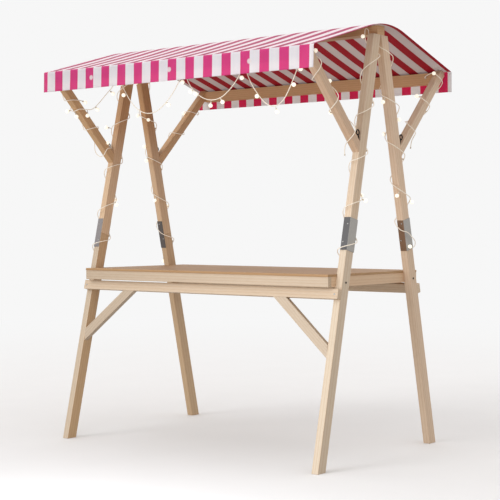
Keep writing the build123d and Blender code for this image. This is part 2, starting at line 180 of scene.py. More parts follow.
def hang(spots):
    """Points of a swag, as (X, down from the rail's top)."""
    return behind(-1, [(spot_x, swag_out, down) for spot_x, down in spots])


def arch(place):
    """Points of the cord where it goes over a nail."""
    return hang([(place + spot_x, nail_drop - rise) for spot_x, rise in over_nail])


print("a winding has 12 points a turn, a nail", len(over_nail))

# %% Routes of the six cords
right_front_leg, right_back_leg = leg_timber(1, -1), leg_timber(1, 1)
left_front_leg, left_back_leg = leg_timber(-1, -1), leg_timber(-1, 1)
right_front_brace, left_front_brace = brace_timber(1, -1), brace_timber(-1, -1)
right_back_brace, left_back_brace = brace_timber(1, 1), brace_timber(-1, 1)

right_leg_route = [
    *beside(right_front_leg, [(-19, -8, 1148), (-31, -8, 1148), (-40, -1, 1143), (-42, 13, 1135)]),
    *wind(right_front_leg, (-1, 1), -1, [
        (1123, 18), (1103, 18), (1063, 18), (998, 18), 917, 894, 845, 778, 682, 667, 606, 548,
        446, 426, 354, 303, 222, 173, 93]),
    *between(1, [(6, -6, 80), (-11, -16, 63), (-17, -42, 51), (-14, -65, 30), (-12, -73.5, 6),
                 (-11, -74, -19), (-11, -65, -28), (-10, -51.5, -28), (-9, -42.5, -19), (-8, -43, 3),
                 (-11, -33, 22), (-14, -17, 34), (-10, -3, 41), (3, 3, 44), (20, 2, 48)]),
    *wind(right_back_leg, (1, -1), 1, [
        58, (128, 22), 213, 289, 317, (382, 24), 458, 528, 559, (637, 24), 698, 749, 790,
        (865, 26), 928, (971, 18), (1020, 18)]),
    *beside(right_back_leg, [(36, 0, 1048), (34, 28, 1070), (32, 45, 1091), (30, 38, 1110),
                             (30, 12, 1115), (31, -9, 1105)])]

left_leg_route = [
    *beside(left_front_leg, [(-19, -8, 1150), (-31, -8, 1150), (-40, -1, 1145), (-43, 12, 1136)]),
    *wind(left_front_leg, (-1, 1), -1, [
        (1119, 18), (1097, 18), (1059, 18), (998, 18), (923, 20), 888, 835, 768, (680, 20),
        653, 608, 518, (424, 20), 391, 334, 278, (227, 20), 170, 93]),
    *between(-1, [(34, -5, 80), (54, -5, 76), (67, -3, 64), (67, -1, 49), (54, 0, 38), (34, 0, 36),
                  (17, 3, 46)]),
    *wind(left_back_leg, (1, -1), 1, [
        58, 138, 223, 304, 332, (382, 20), 458, 547, 575, 633, 698, 770, 806, (871, 20), 928,
        (986, 18), (1040, 18), (1085, 18), (1133, 18)]),
    *beside(left_back_leg, [(-37, -3, 1162), (-35, -10, 1188)])]

front_route = [
    *beside(left_front_brace, [(-19, 17, 784), (-31, 17, 784), (-40, 10, 779), (-42, -4, 770)]),
    *wind(left_front_brace, (-1, -1), 1, [752, 752, 688, 683, 676, 674]),
    *behind(-1, [(-794, 161, 190), (-779, 178, 192), (-753, 182, 193), (-716, 168, 187),
                 (-664, 142, 173), (-611, 117, 154), (-560, 93, 134), (-510, 70, 116), (-457, 46, 95),
                 (-420, 28, 76), (-399, 18, 60), (-387, 12, 53)]),
    *arch(nail_places[0])[3:],
    *hang([(-355, 109), (-328, 150), (-292, 197), (-255, 230), (-213, 252), (-165, 261),
           (-112, 250), (-66, 220), (-25, 184), (8, 146), (35, 108)]),
    *arch(nail_places[1]),
    *hang([(91, 109), (117, 147), (158, 183), (206, 209), (255, 217), (306, 208),
           (350, 181), (388, 146), (419, 108)]),
    *arch(nail_places[2]),
    *hang([(473, 110), (498, 157), (531, 201), (568, 242), (610, 269), (655, 267),
           (690, 240), (718, 197), (742, 152), (762, 109)]),
    *arch(nail_places[3])[:3],
    *behind(-1, [(792, 20, 44)]),
    *wind(right_front_brace, (-1, 1), -1, [
        850, 809, 790, (747, 20), 680, 605, 586, 548, 470, 389, 377, 336])[:-1],
    *beside(right_front_brace, [(-29, -42, 326), (-35, -54, 306), (-34, -68, 290)])]

front_left_route = [
    *beside(left_front_brace, [(-19, 17, 564), (-31, 17, 564), (-40, 10, 559), (-42, -4, 550)]),
    *wind(left_front_brace, (-1, -1), 1, [535, 538, 500, 450, (389, 20)])[:-1],
    *beside(left_front_brace, [(-38, -36, 384), (-28, -50, 364), (-10, -57, 352), (10, -57, 350),
                               (27, -50, 356), (37, -36, 367), (39, -17, 372), (38, 2, 362),
                               (36, 16, 349)])]

back_right_route = [
    *behind(1, [(757, 0, 26), (757, 12, 26), (764, 21, 22), (779, 26, 15), (797, 29, 9)]),
    *wind(right_back_brace, (-1, 1), -1, [
        889, 850, 856, 770, 683, 647, 659, 570, (477, 20), 434, 443])[1:],
    *beside(right_back_brace, [(6, -48, 424), (0, -64, 408), (-4, -82, 394)])]
back_left_route = [
    *beside(left_back_brace, [(-12, -22, 788), (-12, -34, 788), (-5, -43, 783), (8, -46, 774)]),
    *wind(left_back_brace, (1, -1), 1, [744, 700, 692, 620, 554, 500, 500]),
    *beside(left_back_brace, [(-36, 4, 484), (-37, -14, 466), (-36, -32, 452)])]

# Each string's route, and how long its solid is along its middle line.
strings = {
    "right_leg_lights": (right_leg_route, 3.781),
    "left_leg_lights": (left_leg_route, 3.692),
    "front_lights": (front_route, 3.618),
    "front_left_brace_lights": (front_left_route, 0.539),
    "back_right_brace_lights": (back_right_route, 0.958),
    "back_left_brace_lights": (back_left_route, 0.613),
}
print("control points", {name: len(route) for name, (route, length) in strings.items()})

# %% Lay the cords
def line_of(piece):
    """Points of a curve's own line as an array, from first to last."""
    mesh = bpy.data.meshes.new_from_object(piece)
    line = np.empty(len(mesh.vertices) * 3)
    mesh.vertices.foreach_get("co", line)
    bpy.data.meshes.remove(mesh)
    return line.reshape(-1, 3)


def lay_cord(name, route):
    """A NURBS curve of order 3 on the route's points, then a round bevel of the cord's size."""
    curve = bpy.data.curves.new(name, "CURVE")
    curve.dimensions = "3D"
    curve.resolution_u = 6
    spline = curve.splines.new("NURBS")
    spline.points.add(len(route) - 1)
    spline.points.foreach_set("co", [value for point in route for value in (*point, 1)])
    spline.order_u = 3
    spline.use_endpoint_u = True
    spline.points.foreach_set("radius", [cord_size / 2] * len(route))
    piece = bpy.data.objects.new(name, curve)
    bpy.context.scene.collection.objects.link(piece)
    line = line_of(piece)
    curve.bevel_depth = 1.0
    curve.bevel_resolution = 2
    curve.use_fill_caps = True
    return piece, line


cords, lines = {}, {}
for name, (route, length) in strings.items():
    cords[name], lines[name] = lay_cord(name.replace("lights", "cord"), route)
    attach(cords[name], "root")
    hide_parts(name)
    measured = np.linalg.norm(np.diff(lines[name], axis=0), axis=1).sum()
    print(name, "line", round(measured, 3), "of the solid's", length)

# %% [markdown]
# ## Finishes for the strings
# The cord's cream plastic and the bulbs' frosted glass are small on the stall,
# but they are near white, so their tone matters more than their pattern. Each
# still gets a slight unevenness from a noise texture, as real plastic has. The
# lit bulbs are a warm white emission at about the strength of plain white, so
# that they read as lit without lighting the timber beside them. The cord has a
# faint warm emission as well, which is painted light that makes it read brighter.

# %% Helpers for materials
def new_material(name):
    """An empty material with its node tree and its shader."""
    material = bpy.data.materials.new(name)
    material.use_nodes = True
    return material, material.node_tree, material.node_tree.nodes["Principled BSDF"]


def plug(socket, value):
    """Link a socket to another one, or give it a number, a vector or a colour of three numbers."""
    if hasattr(value, "links"):
        socket.id_data.links.new(value, socket)
    elif socket.type == "RGBA":
        socket.default_value = (*value, 1)
    else:
        socket.default_value = value


def feed(node, **values):
    """Give a node its values. Each goes to the socket of that name, or to the node's own setting."""
    for name, value in values.items():
        socket = node.inputs.get(name.replace("_", " ")) if name[0].isupper() else None
        if socket is None:
            setattr(node, name, value)
        else:
            plug(socket, value)
    return node


def add(tree, kind, **values):
    """A new node with its values."""
    return feed(tree.nodes.new(kind), **values)


def object_place(tree):
    """Where a point is in the stall's own frame, in metres."""
    return add(tree, "ShaderNodeTexCoord").outputs["Object"]


def noise(tree, place, **values):
    """How strong a soft random pattern is at a place."""
    return add(tree, "ShaderNodeTexNoise", Vector=place, **values).outputs["Fac"]


print("materials before the first finish", len(bpy.data.materials))

# %% Helpers for colours and numbers in a material
def ramp(tree, factor, stops):
    """The colour that a ramp gives a factor. A stop is a position and a colour, or one number for grey."""
    node = add(tree, "ShaderNodeValToRGB", Fac=factor)
    elements = node.color_ramp.elements
    while len(elements) < len(stops):
        elements.new(0.5)
    for element, (position, colour) in zip(elements, stops):
        element.position = position
        element.color = (*np.broadcast_to(colour, 3), 1)
    return node.outputs["Color"]


def blend_colour(tree, factor, first, second, mode="MIX"):
    """Mix two colours, each a socket or three numbers, by a factor that is a socket or a number."""
    node = add(tree, "ShaderNodeMix", data_type="RGBA", blend_type=mode)
    for place, value in ((0, factor), (6, first), (7, second)):
        plug(node.inputs[place], value)
    return node.outputs[2]


def shade(tree, colour, factor, stops):
    """Multiply a colour by what a ramp gives a factor."""
    return blend_colour(tree, 1.0, colour, ramp(tree, factor, stops), "MULTIPLY")


def arithmetic(tree, operation, *values, clamp=False):
    """A Math node on one to three values, each a socket or a number."""
    node = add(tree, "ShaderNodeMath", operation=operation, use_clamp=clamp)
    for socket, value in zip(node.inputs, values):
        plug(socket, value)
    return node.outputs[0]


def weighted_sum(tree, first, first_weight, second, second_weight, clamp=False):
    """First value times its weight, plus second value times its weight."""
    return arithmetic(tree, "ADD", arithmetic(tree, "MULTIPLY", first, first_weight),
                      arithmetic(tree, "MULTIPLY", second, second_weight), clamp=clamp)


def bump(tree, shader, height, strength, distance):
    """Raise the shader's normal by a height, in metres of distance at full strength."""
    raised = add(tree, "ShaderNodeBump", Strength=strength, Distance=distance, Height=height)
    feed(shader, Normal=raised.outputs["Normal"])


def sRGB(red, green, blue):
    """A colour as it is read in a picture, 0 to 255, in the linear values that a node takes."""
    value = np.array([red, green, blue]) / 255
    linear = np.where(value <= 0.04045, value / 12.92, ((value + 0.055) / 1.055) ** 2.4)
    return tuple(float(part) for part in linear)


print("middle grey of a picture is", round(sRGB(128, 128, 128)[0], 3), "in a node")

# %% Plastic finishes
def plastic(name, dark, light, roughness, grain, glow=(1.0, 1.0, 1.0), glow_strength=0.0):
    """Matte plastic whose tone wanders between two colours, with a glow of its own, which a lit bulb has and
    which on the cord is painted light.
    """
    material, tree, shader = new_material(name)
    unevenness = noise(tree, object_place(tree), Scale=grain, Detail=2.0)
    feed(shader, Base_Color=blend_colour(tree, unevenness, dark, light), Roughness=roughness,
         Emission_Color=glow, Emission_Strength=glow_strength)
    bump(tree, shader, unevenness, 0.2, 0.0002)
    return material


# The cord's faint warm glow is painted light.
cord_plastic = plastic("cream_cord", sRGB(240, 226, 206), sRGB(254, 246, 232), 0.45, 120,
                       (1.0, 0.94, 0.84), 0.1)
socket_plastic = plastic("socket_plastic", sRGB(214, 204, 186), sRGB(238, 230, 214), 0.4, 200)
bulb_glass = plastic("lit_bulb", sRGB(246, 240, 222), sRGB(255, 252, 240), 0.25, 90,
                     (1.0, 0.93, 0.78), 0.65)
for piece in cords.values():
    piece.data.materials.append(cord_plastic)
print("string finishes", [material.name for material in (cord_plastic, socket_plastic, bulb_glass)])

# %% [markdown]
# ## Bulbs
# Each string has small frosted globes of 21 mm on short leads that come off the
# cord. Where the cord hangs free they hang below it, and where it is wound
# round a timber they stick out beside it. A globe is a sphere given by two
# angles, and its socket is a profile turned about the line from the cord to the
# globe's middle. All bulbs of a string are worked out as one array. A string
# that doesn't end in a bulb ends in a small cap.
#
# A place says how far along the cord the bulb comes off, and where its middle
# is from there, all in millimetres.

# %% Places of the bulbs
bulb_places = {
    "right_leg_lights": [
        (245, -20, 0, -5), (350, -3, -6, -19), (575, 15, 12, -7), (612, -8, 17, 0), (720, 0, 20, 2),
        (970, -20, 0, -5), (1075, 0, -13, -16), (1345, -20, 0, -5), (1450, 0, -7, -19), (1720, -20, 0, -5),
        (1861, -1, -18, -3), (1970, -8, 19, 2), (2205, -20, 0, 2), (2310, 0, 7, -19), (2439, -9, -7, -25),
        (2630, 17, 13, -10), (2734, -15, 9, 0), (2975, -19, -8, 2), (3080, 0, 13, -16),
        (3214, -14, -11, -29), (3342, 17, -4, -4), (3450, 0, 13, -16), (3766, 6, -16, 2)],
    "left_leg_lights": [
        (40, 8, 19, 2), (265, -16, -7, -11), (370, -5, -5, -19), (574, 9, 5, -13), (607, -14, 10, -1),
        (715, -13, 0, -16), (1000, -20, 0, 2), (1203, -25, -19, 6), (1395, -16, -7, -11), (1500, 7, 17, 8),
        (1615, -9, -4, 18), (1720, 7, 0, -19), (1825, 7, 16, -11), (1930, 7, 0, -19), (2035, -17, 7, 8),
        (2140, 5, 12, -16), (2264, -2, -16, -5), (2331, 11, -14, -2), (2445, -19, -8, 2),
        (2581, -4, -16, 5), (2663, -8, -6, -20), (2820, -20, 0, 2), (2925, 3, 6, -19),
        (3044, -10, -8, -24), (3181, -16, 5, 3), (3290, 3, 6, -19), (3550, -19, 0, 8), (3679, 0, 0, -21)],
    "front_lights": [
        (40, 8, 18, -5), (221, 20, 15, -10), (337, -16, -12, -7), (375, 8, 6, -30), (451, 0, 0, -34),
        (535, 9, 7, -15), (763, 14, 11, -17), (870, 7, 0, -19), (1018, -6, -14, -8), (1353, 9, 7, -14),
        (1488, 13, 10, -6), (1674, -11, -10, -9), (1701, 7, -15, -5), (1805, -2, -2, -28),
        (1863, 10, 7, -21), (2018, 12, 9, -9), (2087, 17, 13, 18), (2264, 3, -15, -8), (2387, 7, 5, -28),
        (2529, 16, -3, -5), (2611, 16, 3, -7), (2727, 6, 5, 21), (3031, 7, 5, 15), (3260, -10, 15, 2),
        (3365, -13, 0, -16)],
    "front_left_brace_lights": [
        (40, 8, 18, -5), (235, -19, -8, 2), (537, -19, -14, 29)],
    "back_right_brace_lights": [
        (94, 8, -15, -3), (215, -20, 0, 2), (394, -7, -15, 4), (545, -20, 0, 2), (650, 0, 0, -20)],
    "back_left_brace_lights": [
        (210, 13, -13, 0), (315, -12, 5, -16), (610, 0, 0, -21)],
}

print("bulbs", {name: len(places) for name, places in bulb_places.items()})

# %% Helpers for surfaces made with numpy
def make_piece(name, points, faces, material):
    """A smooth mesh object at the origin from an array of points and an array of faces."""
    mesh = bpy.data.meshes.new(name)
    mesh.from_pydata(points.tolist(), [], faces.tolist())
    mesh.polygons.foreach_set("use_smooth", np.ones(len(mesh.polygons), bool))
    mesh.materials.append(material)
    mesh.update()
    piece = bpy.data.objects.new(name, mesh)
    bpy.context.scene.collection.objects.link(piece)
    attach(piece, "root")
    return piece


def grid_faces(rows, columns, around=False, closed=False):
    """Four-sided faces of a grid of points counted row by row. around joins the last
    column to the first, and closed joins the last row to the first."""
    row, column = np.meshgrid(np.arange(rows - (not closed)), np.arange(columns - (not around)),
                              indexing="ij")
    below, after = (row + 1) % rows, (column + 1) % columns
    return np.stack([row * columns + column, row * columns + after,
                     below * columns + after, below * columns + column], -1).reshape(-1, 4)


def turned(starts, ways, distances, radii, sides_round):
    """Solids of revolution, one for each start and way.

    A point is start + way * distance + radius * (across * cos(angle) + other *
    sin(angle)), where across and other are square to the way. distances and
    radii are one profile for all, or a row for each solid. A profile that
    starts and ends at radius 0 is closed."""
    count, steps = len(starts), np.shape(distances)[-1]
    distances, radii = (np.broadcast_to(profile, (count, steps)) for profile in (distances, radii))
    ways = ways / np.linalg.norm(ways, axis=1, keepdims=True)
    helper = np.where(np.abs(ways[:, 2:]) < 0.8, [[0.0, 0.0, 1.0]], [[1.0, 0.0, 0.0]])
    across = np.cross(ways, helper)
    across /= np.linalg.norm(across, axis=1, keepdims=True)
    other = np.cross(ways, across)
    angle = np.linspace(0, 2 * np.pi, sides_round, endpoint=False)[None, :, None]
    ring = across[:, None] * np.cos(angle) + other[:, None] * np.sin(angle)
    points = (starts[:, None, None] + ways[:, None, None] * distances[:, :, None, None]
              + ring[:, None] * radii[:, :, None, None])
    first_points = (np.arange(count) * steps * sides_round)[:, None, None]
    faces = grid_faces(steps, sides_round, around=True)[None] + first_points
    return points.reshape(-1, 3), faces.reshape(-1, 4)


def tidy(piece):
    """Merge doubled points, such as those at a pole, and turn all faces outwards."""
    work = bmesh.new()
    work.from_mesh(piece.data)
    bmesh.ops.remove_doubles(work, verts=work.verts, dist=1e-6)
    bmesh.ops.dissolve_degenerate(work, edges=work.edges, dist=1e-7)
    bmesh.ops.recalc_face_normals(work, faces=work.faces)
    work.to_mesh(piece.data)
    work.free()


def turned_piece(name, starts, ways, distances, radii, sides_round, material):
    """A piece of solids of revolution in a finish."""
    piece = make_piece(name, *turned(starts, ways, distances, radii, sides_round), material)
    tidy(piece)
    return piece


print("a grid of 3 by 4 points has", len(grid_faces(3, 4)), "faces")

# %% Make the bulbs
bulb_radius, socket_length = 10.5 * MM, 9 * MM
socket_radii = np.array([0, 1.6, 1.6, 3.6, 4.2, 4.2, 0]) * MM
socket_lip, socket_grip = 0.8 * MM, 1.5 * MM
cap_distances = np.array([-9, -9, -8, -1.5, 0, 0]) * MM
cap_radii = np.array([0, 3, 3.6, 3.6, 2.4, 0]) * MM
longest_bare_end = 150 * MM
globe_steps, globe_sides, socket_sides, cap_sides = 10, 16, 10, 12
globe_angle = np.linspace(0, np.pi, globe_steps)


def point_along(line, distance):
    """Points at distances along a line of points, by straight interpolation."""
    run = np.concatenate([[0], np.cumsum(np.linalg.norm(np.diff(line, axis=0), axis=1))])
    distance = np.minimum(distance, run[-1])
    return np.stack([np.interp(distance, run, line[:, axis]) for axis in range(3)], 1)


for name, places in bulb_places.items():
    line, length = lines[name], strings[name][1]
    table = np.array(places) * MM
    root, way = point_along(line, table[:, 0]), table[:, 1:]
    reach = np.linalg.norm(way, axis=1, keepdims=True)
    bulbs = turned_piece(
        name.replace("lights", "bulbs"), root, way, reach - bulb_radius * np.cos(globe_angle),
        bulb_radius * np.sin(globe_angle), globe_sides, bulb_glass)
    near = reach - bulb_radius
    start = np.maximum(near - socket_length, 0.0)
    distances = np.hstack([0 * near, 0 * near, start, start + socket_lip,
                           near, near + socket_grip, near + socket_grip])
    sockets = turned_piece(name.replace("lights", "sockets"), root, way, distances,
                           socket_radii, socket_sides, socket_plastic)
    if table[-1, 0] < length - longest_bare_end:
        turned_piece(
            name.replace("lights", "cap"), line[-1:], line[-1:] - line[-2:-1], cap_distances,
            cap_radii, cap_sides, socket_plastic)
    print(name, len(table), "bulbs,", len(bulbs.data.polygons), "faces of glass")

# %% [markdown]
# ## Cord clips
# Each string starts at a small plastic clip that is pinned to the timber. It is
# a dome that is turned about the cord's first direction, so the cord leaves it
# through the middle.

# %% Make the cord clips
starts = np.array([line[0] for line in lines.values()])
ways = np.array([line[1] - line[0] for line in lines.values()])
dome_distances = np.array([-0.4, -0.4, 1.2, 2.6, 3.6, 3.6]) * MM
dome_radii = np.array([0, 5.2, 5.2, 4.6, 3.2, 0]) * MM
dome_sides = 20
turned_piece("cord_clips", starts, ways, dome_distances, dome_radii, dome_sides, socket_plastic)
print("clips", len(starts))

# %% [markdown]
# ## Pine
# The stall is planed pine: pale, with soft yearly rings that show as long
# stripes on the sides and as arcs on the cut ends. Two ways are usual: a
# stretched noise on each face, or a solid texture that is carved by the timber.
# The solid one is used here, because sides and ends then match. The rings lie
# round a pith line beside each timber, so the Mapping node puts every timber's
# own direction along the texture's X and its pith a few centimetres away. No two
# timbers are from one tree: some are nearly white and some are like honey, so
# each group of them has its own tone. These tones also hold painted light and
# shade: the eaves rails, the left braces, the ridge beam and the left legs under
# the roof are browner as painted shade, and the right legs are paler as painted
# light. Deeper under the roof a further painted shade comes in along the timbers,
# up the left upper legs and along the ridge beam towards its middle. The inner
# face of the front left leg gets a painted shade too.

# %% Pine finish
def pine(name, along, seed, pale, deep, ring=26.0):
    """Solid wood whose rings are circles round a pith line along the given way."""
    material, tree, shader = new_material(name)
    rng = np.random.default_rng(seed)
    place = object_place(tree)
    turn = Vector(along).to_track_quat("X", "Z").to_euler()
    pith = Vector(rng.uniform([-1.0, 0.05, -0.12], [1.0, 0.11, -0.04]))
    pith.rotate(turn)
    grain = add(tree, "ShaderNodeMapping", vector_type="TEXTURE", Vector=place, Location=pith,
                Rotation=turn, Scale=(14.0, 1.0, 1.0)).outputs["Vector"]
    rings = add(tree, "ShaderNodeTexWave", wave_type="RINGS", rings_direction="X", wave_profile="SAW",
                Vector=grain, Scale=ring, Distortion=2.2, Detail=2.0, Detail_Scale=1.2,
                Detail_Roughness=0.5).outputs["Fac"]
    year = ramp(tree, rings, [(0.0, 0.15), (0.5, 0.35), (0.84, 0.9), (1.0, 0.15)])
    cloud = noise(tree, grain, Scale=9.0, Detail=2.0)
    fibre = noise(tree, grain, Scale=420.0, Detail=3.0, Roughness=0.6)
    colour = blend_colour(tree, year, pale, deep)
    colour = shade(tree, colour, cloud, [(0.3, (0.90, 0.89, 0.87)), (0.7, 1.0)])
    colour = shade(tree, colour, fibre, [(0.35, (0.93, 0.92, 0.90)), (0.6, 1.0)])
    knot_place = add(tree, "ShaderNodeMapping", vector_type="TEXTURE", Vector=place, Rotation=turn,
                     Location=rng.uniform(-3, 3, 3), Scale=(1.6, 1.0, 1.0)).outputs["Vector"]
    from_knot = add(tree, "ShaderNodeTexVoronoi", Vector=knot_place, Scale=4.2).outputs["Distance"]
    knot = ramp(tree, from_knot, [(0.0, 0.6), (0.02, 0.4), (0.045, 0.0)])
    feed(shader, Base_Color=blend_colour(tree, knot, colour, sRGB(158, 112, 72)),
         Roughness=ramp(tree, year, [(0.0, 0.62), (1.0, 0.5)]))
    bump(tree, shader, weighted_sum(tree, fibre, 0.6, year, 0.4), 0.35, 0.0004)
    return material


def dress(name, material):
    """Give a solid its one finish."""
    solids[name].data.materials.clear()
    solids[name].data.materials.append(material)


board = pine("pine_board", (1, 0, 0), 77, sRGB(196, 159, 117), sRGB(175, 133, 92), ring=18.0)
dress("table_top", board)
print("table top in", board.name)

# %% Helpers for tints
def distance_along(tree, axis):
    """How far a point is along an axis from the stall's middle, or from the ground."""
    parts = add(tree, "ShaderNodeSeparateXYZ", Vector=object_place(tree))
    return arithmetic(tree, "ABSOLUTE", parts.outputs[axis])


def tint_part(material, share, tint):
    """Multiply a finish's colour by a tint, in full where the share is 1 and not at all at 0."""
    tree = material.node_tree
    shader = tree.nodes["Principled BSDF"]
    colour = shader.inputs["Base Color"].links[0].from_socket
    part_tint = blend_colour(tree, share, (1, 1, 1), tint)
    feed(shader, Base_Color=blend_colour(tree, 1.0, colour, part_tint, "MULTIPLY"))


def paint_shade_along(material, axis, start, full, tint):
    """Painted shade as a tint that comes in smoothly along an axis: none at start, all at full."""
    tree = material.node_tree
    share = add(tree, "ShaderNodeMapRange", interpolation_type="SMOOTHSTEP", From_Min=start,
                From_Max=full, Value=distance_along(tree, axis))
    tint_part(material, share.outputs["Result"], tint)


print("the inner face of a leg is", round(inner_x, 3), "m from the middle")

# %% Dress the timbers
pale_pine, deep_pine = sRGB(232, 213, 190), sRGB(219, 193, 163)
# How each group of timbers differs in tone: the wood's own tone together with painted light and shade,
# browner under the roof and paler at the right end. The first name that fits counts.
timber_tones_light_and_shade = {"front_right_brace": (1.0, 0.90, 0.86), "front_right_upper": (1.07, 1.06, 1.07),
                "front_right": (1.03, 1.07, 1.12), "front_apron": (0.84, 0.83, 0.83),
                "front_beam": (0.95, 0.93, 0.92), "knee": (0.81, 0.82, 0.84), "ridge": (1.09, 0.88, 0.64),
                "left_upper_leg": (1.03, 0.92, 0.81), "back_left_lower": (0.91, 0.82, 0.70),
                "front_left_lower": (0.86, 0.87, 0.88), "left_brace": (0.95, 0.76, 0.55),
                "eaves_rail": (0.96, 0.73, 0.52), "end_rail": (1.06, 0.96, 0.88),
                "back_right_upper": (1.14, 1.09, 1.09), "back_right": (1.06, 1.02, 1.02)}
# Where the painted shade starts, where it is full, and its tint: up the left upper legs towards the roof,
# along the ridge beam towards its middle, and on the front left lower leg's inner face.
painted_shade_parts = {"left_upper_leg": ("Z", 1.45, 1.85, (0.80, 0.64, 0.48)),
               "ridge_beam": ("X", 0.85, 0.7, (0.55, 0.46, 0.42)),
               "front_left_lower_leg": ("X", inner_x + 1.6 * MM, inner_x + 0.4 * MM, (0.95, 0.79, 0.60))}

timber_ways = {}
for side_name, side in sides.items():
    for end_name in ends:
        for part in ("lower_leg", "upper_leg"):
            timber_ways[f"{side_name}_{end_name}_{part}"] = (0, -side * lean_sin, lean_cos)
        timber_ways[f"{side_name}_{end_name}_brace"] = (0, side, 1)
    for part in ("eaves_rail", "beam", "apron"):
        timber_ways[f"{side_name}_{part}"] = (1, 0, 0)
timber_ways.update({"ridge_beam": (1, 0, 0), "left_end_rail": (0, 1, 0), "right_end_rail": (0, 1, 0),
                    "left_knee_brace": (1, 0, 0.83), "right_knee_brace": (-1, 0, 0.83)})
for seed, (name, way) in enumerate(timber_ways.items()):
    tone_light_and_shade = next((tint for part, tint in timber_tones_light_and_shade.items() if part in name), (1, 1, 1))
    pale, deep = (tuple(np.multiply(colour, tone_light_and_shade)) for colour in (pale_pine, deep_pine))
    timber = pine(f"pine_{name}", way, seed, pale, deep)
    # Painted shade deep under the roof and on the inner face of the front left leg.
    for part, painted_shade in painted_shade_parts.items():
        if name.endswith(part):
            paint_shade_along(timber, *painted_shade)
    dress(name, timber)
print(len(timber_ways), "timbers in pine")

# %% [markdown]
# ## Eased edges
# A planed timber never has a knife edge: its long edges are eased by a
# millimetre or two, and they catch a thin line of light. The solids stay as
# they are and get modifiers: Weld joins their loose triangles, Bevel rounds the
# edges, and Weighted Normal keeps the flat faces flat.

# %% Ease the edges of the timbers and channels
timber_edge, board_edge, channel_edge = 1.6 * MM, 0.8 * MM, 0.6 * MM


def ease(node, width):
    """Round a solid's edges by a width, with modifiers only."""
    weld = node.modifiers.new("weld", "WELD")
    weld.merge_threshold = 0.00001
    round_edges = node.modifiers.new("round_edges", "BEVEL")
    round_edges.width = width
    round_edges.segments = 2
    round_edges.limit_method = "ANGLE"
    round_edges.angle_limit = math.radians(40)
    flat = node.modifiers.new("flat_faces", "WEIGHTED_NORMAL")
    flat.keep_sharp = False


channels = [f"{side}_{end}_splice" for side, end in product(sides, ends)]
for name in timber_ways:
    ease(solids[name], timber_edge)
ease(solids["table_top"], board_edge)
for name in channels:
    ease(solids[name], channel_edge)
print("eased", sum(1 for node in solids.values() if node.modifiers), "solids")

# %% [markdown]
# ## Steel channels and blackened iron
# The channels that join the two lengths of a leg are folded from zinc-coated
# sheet: grey, faintly mottled and half dull. Two textures make the mottle,
# cells for the zinc's crystals and a smear over them, because one alone looks
# regular. Each channel's two flanges get a tint of their own, which is painted
# reflection and shade of what stands beside them. The eye screws and
# the nails are blackened iron, rough and nearly black.

# %% Metal finishes
web_start = frame_x + 1.4 * MM


def metal(name, dark, light, roughness, grain, metallic, specular=0.5):
    """Metal whose colour and roughness wander with cells and a smear of the given grain."""
    material, tree, shader = new_material(name)
    place = object_place(tree)
    cells = add(tree, "ShaderNodeTexVoronoi", Vector=place, Scale=grain).outputs["Distance"]
    smear = noise(tree, place, Scale=grain / 6, Detail=3.0)
    mottle = weighted_sum(tree, cells, 0.5, smear, 0.6, clamp=True)
    feed(shader, Base_Color=blend_colour(tree, mottle, dark, light), Metallic=metallic,
         Roughness=ramp(tree, mottle, [(0.2, roughness * 0.8), (0.8, roughness * 1.2)]),
         Specular_IOR_Level=specular)
    bump(tree, shader, mottle, 0.15, 0.0003)
    return material


def paint_flange_reflection(material, tint):
    """Paint reflection and shade on a channel's two flanges as a tint. Its web is past the leg's outer face,
    and they are not.
    """
    tree = material.node_tree
    on_flange = arithmetic(tree, "LESS_THAN", distance_along(tree, "X"), web_start)
    tint_part(material, on_flange, tint)


iron = metal("blackened_iron", sRGB(22, 17, 15), sRGB(42, 34, 30), 0.65, 700, 0.0, specular=0.25)
screw_steel = metal("bright_screws", sRGB(150, 148, 144), sRGB(206, 204, 200), 0.3, 900, 0.9)
dress("front_rail_nails", iron)
# The flanges' painted reflection and shade: pale for the sky that they would mirror, dark for dark
# surroundings, and brown for the wood.
painted_flange_reflections = {"front_left_splice": (0.63, 0.60, 0.64), "front_right_splice": (0.25, 0.25, 0.27),
                "back_left_splice": (0.26, 0.235, 0.235), "back_right_splice": (0.51, 0.30, 0.18)}
for name, tint in painted_flange_reflections.items():
    zinc = metal(f"zinc_{name}", sRGB(160, 159, 156), sRGB(190, 188, 184), 0.5, 260, 0.2)
    paint_flange_reflection(zinc, tint)
    dress(name, zinc)
print("metals", len(painted_flange_reflections), "of zinc,", iron.name, screw_steel.name)

# %% [markdown]
# ## Eye screws
# In the crook between each leg and its brace stands an iron eye screw: a closed
# ring of 7 mm wire on a threaded shank. The ring is a torus, which two angles
# give: one round the ring and one round the wire. The shank is a cylinder whose
# radius rises and falls along a helix.

# %% Make the eye screws
eye_wire, eye_ring, eye_reach, eye_inset = 3.5 * MM, 12.5 * MM, 49 * MM, 6 * MM
thread_start, thread_pitch, thread_height, thread_core = 9.5 * MM, 2.2 * MM, 0.35 * MM, 3.3 * MM
ring_steps, wire_steps, shank_steps, shank_sides = 36, 14, 60, 16
brace_top = brace_rise + brace_depth / 2 / math.cos(brace_turn)
crook_z = (brace_top + foot_outer * math.tan(brace_turn)) / (1 + math.tan(brace_turn) * lean_tan)
crook_y = foot_outer - crook_z * lean_tan
stand = (brace_turn + math.pi / 2 + leg_lean) / 2


def round_and_round(rows, columns):
    """A grid of two values: rows, and angles of a full turn along the columns."""
    grid = np.meshgrid(rows, np.linspace(0, 2 * np.pi, columns, endpoint=False), indexing="ij")
    return (values[..., None] for values in grid)


